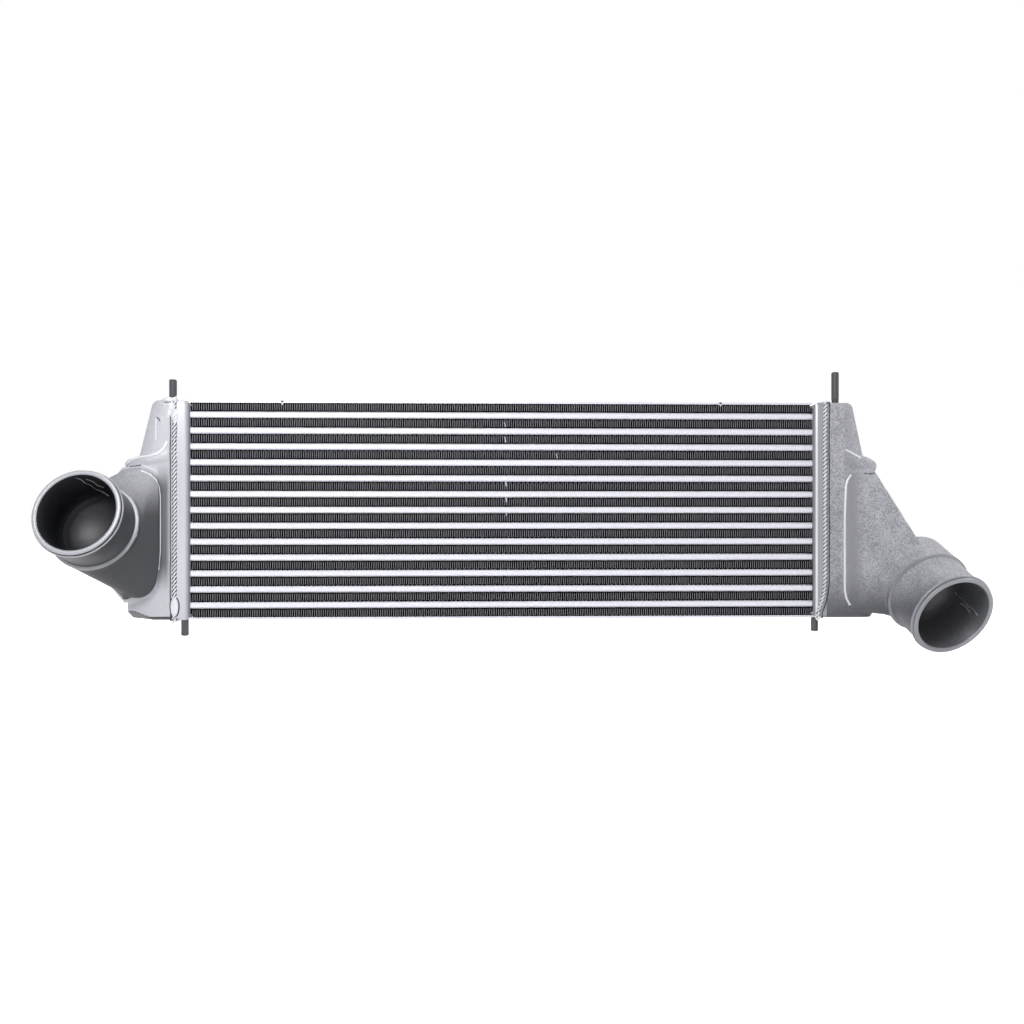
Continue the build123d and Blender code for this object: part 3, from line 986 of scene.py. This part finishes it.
class COOLER_OT_beads(bpy.types.Operator):
    """Lays the ripples of the weld beads round the joints"""

    bl_idname = "cooler.beads"
    bl_label = "Weld beads"

    def execute(self, context):
        sizes = context.scene.cooler.bead
        for word, side in SIDES.items():
            tank = TANKS[word]
            low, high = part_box(f"header_pan_{word}")
            low.x = high.x = JOINTS[word] + side * tank["bead_shift"] * MM
            rise, depth = Vector((0, 0, high.z - low.z)), Vector((0, high.y - low.y, 0))
            width = tank["bead_width"] * MM
            front, back = Vector((0, -1, 0)), Vector((0, 1, 0))
            up, down = Vector((0, 0, 1)), Vector((0, 0, -1))
            pieces = []
            for start, run, facing in (
                (low, rise, front),
                (low + depth, rise, back),
                (low + rise, depth, up),
                (low, depth, down),
            ):
                pieces += [
                    self.lay_run(sizes, width, tank["ripple_share"], start, run, facing),
                    # Dark strips of painted shade under the ripples, showing between them, and in the
                    # undercut
                    self.strip(0, width * 0.8, start, run, facing, side),
                    self.strip(tank["undercut_shade"] * MM, sizes.undercut, start, run, facing, side),
                ]
            for out, up, wide, tall, lift, burnt in tank["bead_patches"]:
                place = Vector((low.x + side * out * MM, low.y, CENTRE.z + up * MM))
                pieces.append(self.blob(context, place, (wide * MM, lift * MM, tall * MM), burnt))
            for piece in pieces:
                piece.data.materials.append(metal(weld_metal))
                piece.data.materials.append(metal(burnt_and_shaded_edge))
            bead = join(pieces)
            self.wander(bead, sizes, low, tank["bead_run_out"] * MM * side)
            name = f"weld_bead_{word}"
            finish_piece(bead, f"{name}_ripples", (), [name], smooth=60)
        return {"FINISHED"}

    def wander(self, bead, sizes, low, run_out):
        """The unsteadiness of the hand, and the run-out at the foot of the front bead."""
        noise = bpy.data.textures.new("bead_wander", "CLOUDS")
        noise.noise_scale = 22 * MM
        wander_sideways(bead, noise, sizes.wander)
        if run_out:
            bpy.ops.object.mode_set(mode="EDIT")
            front, foot = low.y + 4 * MM, low.z + 8 * MM
            select_where(bead, "VERT", lambda vert: vert.co.y < front and vert.co.z < foot)
            bpy.ops.transform.translate(
                value=(run_out, 0, 0),
                use_proportional_edit=True,
                proportional_edit_falloff="SHARP",
                proportional_size=30 * MM,
            )
            bpy.ops.object.mode_set(mode="OBJECT")

    def blob(self, context, place, spread, burnt):
        """One flattened ball of weld metal on the front of the joint."""
        clear_selection()
        bpy.ops.mesh.primitive_uv_sphere_add(
            segments=20, ring_count=10, radius=1, location=place, scale=spread
        )
        blob = settle(context.object)
        for face in blob.data.polygons:
            face.material_index = int(burnt)
        return blob

    def lay_run(self, sizes, width, share, start, run, facing):
        """One straight run: a flattened ball, slanted across the joint and repeated."""
        reach, along = run.length, run.normalized()
        count = round(reach / sizes.ripple)
        clear_selection()
        bpy.ops.mesh.primitive_uv_sphere_add(segments=10, ring_count=6, radius=1)
        ripple = bpy.context.object
        across = along.cross(facing)
        turn = Matrix((across, along, facing)).transposed().to_4x4()
        slant = Matrix.Rotation(sizes.slant, 4, "Z")
        size = Matrix.Diagonal((width * 0.85, sizes.ripple * share, sizes.rise, 1))
        ripple.matrix_world = Matrix.Translation(start) @ turn @ slant @ size
        settle(ripple)
        repeat(ripple, count + 1, along * (reach / count))
        return ripple

    def strip(self, shift, width, start, run, facing, side):
        """A dark strip under the ripples or beside them, where the arc cut into the casting: painted shade
        between the ripples and in the undercut.
        """
        scale = [width, run.length, run.length]
        scale[1 if facing.y else 2] = 1.2 * MM
        clear_selection()
        bpy.ops.mesh.primitive_cube_add(
            size=1, location=start + run / 2 + Vector((side * shift, 0, 0)), scale=scale
        )
        line = settle(bpy.context.object)
        bpy.ops.object.mode_set(mode="EDIT")
        select_where(line, "EDGE", lambda edge: edge.calc_length() > 20 * MM)
        bpy.ops.mesh.subdivide(number_cuts=40)
        bpy.ops.object.mode_set(mode="OBJECT")
        for face in line.data.polygons:
            face.material_index = 1
        return line


class COOLER_OT_castings(bpy.types.Operator):
    """Casts the two tanks, each with its chamber, duct, slope and pipe, and turns their spigots"""

    bl_idname = "cooler.castings"
    bl_label = "Cast tanks"

    def execute(self, context):
        sizes = context.scene.cooler.casting
        for word, side in SIDES.items():
            tank = TANKS[word]
            out, back, up = tank["aim"]
            self.aim = Vector((side * out, back, up)).normalized()
            self.mouth = self.spot(word, *tank["mouth"])
            self.shoulder = tank["barrel"] * MM
            body = self.copy_body(context, word)
            self.cut_corner(body, word, tank)
            slope = self.slope(context, sizes, word, tank)
            brow = self.brow(word, tank)
            body = join([body, slope, brow])
            apply_modifier(body, "REMESH", mode="VOXEL", voxel_size=sizes.grain)
            apply_modifier(body, "SMOOTH", factor=0.5, iterations=sizes.rounding)
            # The remeshed skin has tens of thousands of faces, or none if the forms stay open
            if len(body.data.polygons) < 10000:
                raise RuntimeError(f"the skin of the {word} casting is missing")
            spigot = self.spigot(sizes)
            lines = [self.line(word, radius, places) for radius, _, places in tank["lines"]]
            elbow = self.elbow(sizes)
            skins = (smooth_cast, turned_metal, deep_shaded_passage, shaded_duct)
            if side > 0:
                skins = (rough_cast, dull_turned, passage, rough_cast)
            body.data.materials.clear()
            pieces = [body, spigot, elbow] + lines
            for piece in pieces:
                for recipe in skins + (worn_and_highlit_edge, burnt_and_shaded_edge):
                    piece.data.materials.append(metal(recipe))
            self.dress_spigot(spigot, sizes, side)
            self.dress_body(context, body, sizes, side, tank)
            for face in elbow.data.polygons:
                face.material_index = INSIDE
            # Bright lines carry painted highlights, in places worn bare; dark lines are painted shadow
            for line, (_, dark, _) in zip(lines, tank["lines"]):
                for face in line.data.polygons:
                    face.material_index = BURNT_AND_SHADED if dark else WORN_AND_HIGHLIT
            name = f"cast_tank_{word}"
            finish_piece(join(pieces), f"{name}_casting", (), [name], smooth=50)
        return {"FINISHED"}

    def dress_spigot(self, spigot, sizes, side):
        """Turned faces at the lip and the shoulder, painted shade in the left one's groove and in the bore,
        and the duct's skin on the barrel, painted shade on the left.
        """
        for face in spigot.data.polygons:
            ahead, away = self.split(face.center)
            if away < sizes.bore + 0.3 * MM and ahead < -2 * MM:
                face.material_index = INSIDE
            elif side < 0 and -3.75 * MM < ahead < -1.95 * MM and away < sizes.lip - 0.1 * MM:
                face.material_index = BURNT_AND_SHADED
            elif -8 * MM < ahead or ahead < 0.5 * MM - self.shoulder:
                face.material_index = TURNED
            else:
                face.material_index = DUCT

    def dress_body(self, context, body, sizes, side, tank):
        """The passage's inside, in painted shade, and the other skin of duct front, slope, pipe and foot,
        which is painted shade on the left casting.
        """
        duct_front = CENTRE.y + (tank["slope_front"] + 1.5) * MM
        pipe_end = -self.shoulder - 12 * MM
        foot = CENTRE.z - 96.5 * MM
        walls = BVHTree.FromObject(body, context.evaluated_depsgraph_get())
        for face in body.data.polygons:
            ahead, away = self.split(face.center)
            # All but the front keeps the outer skin, and underneath only what looks to the back
            turned_away = face.normal.y > (0.1 if face.normal.z < -0.3 else -0.2)
            on_pipe = away < sizes.pipe + 2 * MM and ahead > pipe_end
            if self.looks_inside(walls, face, side, sizes.bore + 2.5 * MM):
                face.material_index = INSIDE
            elif not turned_away and (face.center.y < duct_front or on_pipe):
                face.material_index = DUCT
            elif face.center.z < foot and face.normal.z < -0.35 and face.normal.y < -0.35:
                face.material_index = DUCT

    def spot(self, word, out, back, up):
        """A point given in millimetres outwards from the joint, to the back and up."""
        return Vector((JOINTS[word] + SIDES[word] * out * MM, CENTRE.y + back * MM, CENTRE.z + up * MM))

    def split(self, point):
        """How far a point lies in front of the mouth, and how far from the spigot's axis."""
        offset = point - self.mouth
        ahead = offset.dot(self.aim)
        return ahead, (offset - self.aim * ahead).length

    def looks_inside(self, walls, face, side, near):
        """Whether a face lies inside: in the bore, or where almost every way out ends at a wall."""
        offset = face.center - self.mouth
        ahead = offset.dot(self.aim)
        outwards = offset - self.aim * ahead
        in_bore = outwards.length < near and ahead > -self.shoulder - 20 * MM
        if in_bore and face.normal.dot(outwards) < 0:
            return True
        start = face.center + face.normal * 0.3 * MM
        ways = ((side, 0, 0), (0, 1, 0), (0, -1, 0), (0, 0, 1), (0, 0, -1), face.normal)
        return sum(walls.ray_cast(start, way)[0] is not None for way in ways) > 4

    def cut_corner(self, body, word, tank):
        """Takes a wedge off the chamber's lower outer corner."""
        if not tank["corner_wedge"]:
            return
        wedge = draw_outline([self.spot(word, *place) for place in tank["corner_wedge"]])
        edit_all()
        bpy.ops.mesh.convex_hull()
        bpy.ops.mesh.normals_make_consistent(inside=False)
        bpy.ops.object.mode_set(mode="OBJECT")
        cut_away(body, wedge)

    def brow(self, word, tank):
        """The rising ledge that runs round the front of the chamber."""
        out, back = tank["brow_centre"]
        radius, start = tank["brow_radius"], tank["brow_start"]
        low, height = tank["brow_low"], tank["brow_height"]
        plan = [(start, back), (start, back - radius)]
        plan += [
            (out + radius * math.sin(angle), back - radius * math.cos(angle))
            for angle in (math.radians(10 * step) for step in range(10))
        ]
        brow = draw_outline([self.spot(word, *place, low) for place in plan])
        edit_all()
        bpy.ops.mesh.edge_face_add()
        bpy.ops.mesh.extrude_region_move(TRANSFORM_OT_translate={"value": (0, 0, height * MM)})
        bpy.ops.mesh.select_all(action="SELECT")
        bpy.ops.mesh.normals_make_consistent(inside=False)
        near = 0.1 * MM
        corner = self.spot(word, start, back - radius, low + height)
        middle = self.spot(word, start, back, low).y

        def on_rim(vert):
            return vert.co.z > corner.z - near and (
                abs(vert.co.x - corner.x) > near or vert.co.y < corner.y + near
            )

        def on_front_rim(edge):
            return all(on_rim(vert) for vert in edge.verts) and any(
                vert.co.y < middle - near for vert in edge.verts
            )

        select_where(brow, "EDGE", on_front_rim)
        bpy.ops.mesh.bevel(offset=4 * MM, segments=3, profile=0.5, affect="EDGES")
        bpy.ops.mesh.select_all(action="SELECT")
        bpy.ops.transform.rotate(
            value=-SIDES[word] * math.radians(tank["brow_tilt"]),
            orient_axis="Y",
            center_override=self.spot(word, out + radius, back, low),
        )
        bpy.ops.object.mode_set(mode="OBJECT")
        return brow

    def copy_body(self, context, word):
        """The casting's main forms, from the CAD model, without the turned spigot."""
        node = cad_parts[f"cast_tank_{word}"]
        body = bpy.data.objects.new(f"{word}_body", node.data.copy())
        context.scene.collection.objects.link(body)
        take(body)
        edit_all()
        bpy.ops.mesh.remove_doubles(threshold=0.002 * MM)

        def on_spigot(face):
            ahead, away = self.split(face.calc_center_median())
            return ahead > 0.05 * MM - self.shoulder and away < 44 * MM

        def on_cut(edge):
            places = [self.split(vert.co) for vert in edge.verts]
            return edge.is_boundary and all(abs(ahead + self.shoulder) < 0.2 * MM for ahead, _ in places)

        select_where(body, "FACE", on_spigot)
        bpy.ops.mesh.delete(type="FACE")
        select_where(body, "EDGE", on_cut)
        bpy.ops.mesh.bridge_edge_loops()
        bpy.ops.object.mode_set(mode="OBJECT")
        return body

    def slope(self, context, sizes, word, tank):
        """The slope between the duct's front and the pipe, with the pipe's bore cut out."""
        front = tank["slope_front"]
        points = [self.spot(word, out, front, up) for out, up in tank["slope_outline"]]
        slope = draw_outline(points + points[:1])
        edit_all()
        bpy.ops.mesh.remove_doubles(threshold=TOUCH)
        bpy.ops.mesh.subdivide(number_cuts=4)
        bpy.ops.mesh.vertices_smooth(factor=0.5, repeat=8)
        # Its wall goes straight back into the chamber
        bpy.ops.mesh.extrude_region_move(TRANSFORM_OT_translate={"value": (0, 12 * MM, 0)})
        bpy.ops.object.mode_set(mode="OBJECT")
        turn = self.aim.to_track_quat("Z", "Y").to_euler()
        clear_selection()
        bpy.ops.mesh.primitive_circle_add(
            vertices=48,
            radius=sizes.pipe,
            location=self.mouth - self.aim * (self.shoulder + tank["slope_start_behind"] * MM),
            rotation=turn,
        )
        ring = settle(context.object)
        slope = join([slope, ring])
        edit_all()
        bpy.ops.mesh.convex_hull()
        if tank["slope_trim"]:
            # The duct's outer edge stays straight where the pipe's back stands beyond it
            upper, lower = [self.spot(word, out, front, up) for out, up in tank["slope_trim"]]
            outwards = (lower - upper).cross(Vector((0, 1, 0)))
            outwards *= 1 if outwards.x * SIDES[word] > 0 else -1
            bpy.ops.mesh.select_all(action="SELECT")
            bpy.ops.mesh.bisect(plane_co=upper, plane_no=outwards, use_fill=True, clear_outer=True)
        bpy.ops.object.mode_set(mode="OBJECT")
        clear_selection()
        reach = 90 * MM
        bpy.ops.mesh.primitive_cylinder_add(
            vertices=64,
            radius=sizes.bore + 0.6 * MM,
            depth=reach,
            location=self.mouth - self.aim * (self.shoulder + reach / 2 - 10 * MM),
            rotation=turn,
        )
        cut_away(slope, settle(context.object))
        return slope

    def line(self, word, radius, places):
        """A thin line along the skin: a bright edge, partly worn bare and partly a painted highlight, a
        scratch, or a dark line of painted shadow.
        """
        take(draw_outline([self.spot(word, *place) for place in places]))
        bpy.ops.object.convert(target="CURVE")
        line = bpy.context.object
        line.data.bevel_depth = radius * MM
        line.data.bevel_resolution = 2
        line.data.use_fill_caps = True
        bpy.ops.object.convert(target="MESH")
        return bpy.context.object

    def elbow(self, sizes):
        """The rounded wall on which the passage bends away behind the bore, open to the chamber."""
        clear_selection()
        bpy.ops.mesh.primitive_uv_sphere_add(segments=64, ring_count=32, radius=1)
        elbow = bpy.context.object
        turn = self.aim.to_track_quat("Z", "Y").to_matrix().to_4x4()
        size = Matrix.Diagonal((sizes.bore, sizes.bore, sizes.elbow, 1))
        start = self.mouth - self.aim * (self.shoulder + 3 * MM)
        elbow.matrix_world = Matrix.Translation(start) @ turn @ size
        settle(elbow)
        inwards = 1 if self.mouth.x < CENTRE.x else -1
        open_from = 18 * MM

        def is_open(face):
            offset = face.calc_center_median() - start
            return offset.dot(self.aim) > 0 or offset.x * inwards > open_from

        bpy.ops.object.mode_set(mode="EDIT")
        select_where(elbow, "FACE", is_open)
        bpy.ops.mesh.delete(type="FACE")
        bpy.ops.mesh.select_all(action="SELECT")
        bpy.ops.mesh.flip_normals()
        bpy.ops.object.mode_set(mode="OBJECT")
        return elbow

    def spigot(self, sizes):
        """Lip, groove, bead, barrel and shoulder, spun round the spigot's axis."""
        end = -self.shoulder
        groove = sizes.barrel - 0.3 * MM
        # Each point's distance from the axis, and how far it lies in front of the mouth
        section = (
            (sizes.bore, -1.2 * MM),
            (sizes.bore + 0.9 * MM, -0.2 * MM),
            (sizes.bore + 1.4 * MM, 0),
            (sizes.lip - 0.9 * MM, 0),
            (sizes.lip - 0.2 * MM, -0.4 * MM),
            (sizes.lip, -1.0 * MM),
            (sizes.lip, -1.9 * MM),
            (groove, -2.2 * MM),
            (groove, -3.5 * MM),
            (sizes.bead - 0.8 * MM, -3.8 * MM),
            (sizes.bead - 0.1 * MM, -4.3 * MM),
            (sizes.bead, -5.0 * MM),
            (sizes.bead - 0.2 * MM, -5.9 * MM),
            (sizes.bead - 0.9 * MM, -6.8 * MM),
            (sizes.barrel, -8.0 * MM),
            (sizes.barrel, end + 1.0 * MM),
            (sizes.barrel + 0.4 * MM, end + 0.2 * MM),
            (sizes.pipe - 0.7 * MM, end),
            (sizes.pipe + 0.5 * MM, end - 0.6 * MM),
            (sizes.pipe + 0.5 * MM, end - 2.0 * MM),
            (sizes.pipe - 1.5 * MM, end - 4.0 * MM),
            (sizes.bore, end - 4.0 * MM),
            (sizes.bore, -1.2 * MM),
        )
        out = self.aim.cross(Vector((0, 0, 1))).normalized()
        points = [self.mouth + out * radius + self.aim * ahead for radius, ahead in section]
        return turn_on_axis(points, self.mouth, self.aim, sizes.steps)


class COOLER_OT_pins(bpy.types.Operator):
    """Turns the four steel mounting pins"""

    bl_idname = "cooler.pins"
    bl_label = "Mounting pins"

    def execute(self, context):
        sizes = context.scene.cooler.pin
        for row, word in (("upper", "left"), ("upper", "right"), ("lower", "left"), ("lower", "right")):
            name = f"{row}_pin_{word}"
            facing = 1 if row == "upper" else -1
            low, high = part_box(name)
            centre = (low + high) / 2
            tip = high.z if facing > 0 else low.z
            foot = low.z if facing > 0 else high.z
            radius = sizes.radius
            # The shank stays out of sight in its boss
            seat = foot + facing * 10 * MM
            section = [(0, foot), (radius - MM, foot), (radius - MM, seat), (radius, seat)]
            if facing > 0:
                for rise in (2.0 * MM, 4.2 * MM, 6.4 * MM):
                    section += [
                        (radius, seat + rise - 0.5 * MM),
                        (radius - sizes.groove, seat + rise - 0.2 * MM),
                        (radius - sizes.groove, seat + rise + 0.2 * MM),
                        (radius, seat + rise + 0.5 * MM),
                    ]
            section += [(radius, tip - facing * sizes.edge), (radius - sizes.edge, tip), (0, tip)]
            points = [Vector((centre.x + away, centre.y, up)) for away, up in section]
            pin = turn_on_axis(points, centre, (0, 0, 1), 32)
            finish_piece(pin, f"{name}_turned", (metal(pin_steel),), [name], smooth=30)
        return {"FINISHED"}


class COOLER_OT_studio(bpy.types.Operator):
    """Sets up the floor, the lights, the white surroundings and the camera"""

    bl_idname = "cooler.studio"
    bl_label = "Studio"

    def execute(self, context):
        sizes = context.scene.cooler.studio
        low = Vector(CAD_BOX[0])
        clear_selection()
        bpy.ops.mesh.primitive_plane_add(size=8, location=(CENTRE.x, CENTRE.y, low.z))
        floor = settle(context.object)
        floor.name = "floor"
        floor.data.materials.append(self.floor_paint(context.scene.cooler.finish, sizes))
        lamps = (
            ("key_light", (-0.15, -1.0, 0.8), 0.5, sizes.key),
            ("fill_light", (0.5, -2.3, 0.9), 1.4, sizes.fill),
            ("side_light", (1.9, -0.3, 1.2), 0.6, sizes.side),
            ("back_light", (0.3, 2.1, 1.5), 1.8, sizes.back),
        )
        for name, place, size, watts in lamps:
            clear_selection()
            bpy.ops.object.light_add(type="AREA", location=place)
            lamp = context.object
            lamp.name = name
            lamp.data.size = size
            lamp.data.energy = watts
            lamp.rotation_euler = (CENTRE - lamp.location).to_track_quat("-Z", "Y").to_euler()
        self.surround(context.scene, sizes)
        clear_selection()
        bpy.ops.object.camera_add(
            location=CENTRE + CAMERA_PLACE,
            rotation=[math.radians(degrees) for degrees in CAMERA_TURN],
        )
        camera = context.object
        camera.data.lens = sizes.lens
        camera.data.sensor_width = 36
        context.scene.camera = camera
        context.scene.view_settings.view_transform = "Standard"
        return {"FINISHED"}

    def seen(self, tree):
        """One for a ray that shows the surroundings, to the eye or in metal and glass."""
        path = add_node(tree, "ShaderNodeLightPath")
        either = path.outputs["Is Camera Ray"]
        for kind in ("Is Glossy Ray", "Is Transmission Ray"):
            either = add_node(
                tree, "ShaderNodeMath", {"operation": "MAXIMUM"}, {0: either, 1: path.outputs[kind]}
            ).outputs[0]
        return either

    def floor_paint(self, finish, sizes):
        # Matt white paper: it takes the cooler's soft shadow and is white elsewhere.
        material, tree, shader = new_metal("matt_paper", finish.floor, 0.0, 0.9)
        shader.inputs["Specular IOR Level"].default_value = 0.0
        shader.inputs["Emission Color"].default_value = (1, 1, 1, 1)
        glow = add_node(tree, "ShaderNodeMath", {"operation": "MULTIPLY"}, {0: self.seen(tree)})
        glow.inputs[1].default_value = sizes.floor_glow
        tree.links.new(glow.outputs[0], shader.inputs["Emission Strength"])
        return material

    def surround(self, scene, sizes):
        """A world that is white to the eye and dimmer as a light."""
        if scene.world is None:
            scene.world = bpy.data.worlds.new("surroundings")
        scene.world.use_nodes = True
        tree = scene.world.node_tree
        tree.nodes.clear()
        dim, white = [
            add_node(tree, "ShaderNodeBackground", {"Color": (1, 1, 1, 1), "Strength": strength}).outputs[0]
            for strength in (sizes.ambient, 1)
        ]
        mix = add_node(tree, "ShaderNodeMixShader", None, {0: self.seen(tree), 1: dim, 2: white})
        add_node(tree, "ShaderNodeOutputWorld", None, {"Surface": mix.outputs[0]})


class COOLER_PT_panel(bpy.types.Panel):
    """Lists the cooler's pieces in the sidebar"""

    bl_idname = "COOLER_PT_panel"
    bl_label = "Charge-air cooler"
    bl_space_type = "VIEW_3D"
    bl_region_type = "UI"
    bl_category = "Charge-air cooler"

    def draw(self, context):
        for operator in OPERATORS:
            self.layout.operator(operator.bl_idname)
        for group in ("core", "bead", "casting", "pin", "finish", "studio"):
            settings = getattr(context.scene.cooler, group)
            for name in settings.bl_rna.properties.keys():
                if name not in ("rna_type", "name"):
                    self.layout.prop(settings, name)


OPERATORS = (
    COOLER_OT_tubes,
    COOLER_OT_air_fins,
    COOLER_OT_side_plates,
    COOLER_OT_pans,
    COOLER_OT_beads,
    COOLER_OT_castings,
    COOLER_OT_pins,
    COOLER_OT_studio,
)
GROUPS = (CoreSizes, BeadSizes, CastingSizes, PinSizes, Finishes, StudioSizes, CoolerSettings)


def register():
    for kind in GROUPS + OPERATORS + (COOLER_PT_panel,):
        bpy.utils.register_class(kind)
    bpy.types.Scene.cooler = PointerProperty(type=CoolerSettings)


def unregister():
    del bpy.types.Scene.cooler
    for kind in reversed(GROUPS + OPERATORS + (COOLER_PT_panel,)):
        bpy.utils.unregister_class(kind)


def main():
    register()
    bpy.ops.cooler.tubes()
    bpy.ops.cooler.air_fins()
    bpy.ops.cooler.side_plates()
    bpy.ops.cooler.pans()
    bpy.ops.cooler.beads()
    bpy.ops.cooler.castings()
    bpy.ops.cooler.pins()
    bpy.ops.cooler.studio()


if __name__ == "__main__":
    main()
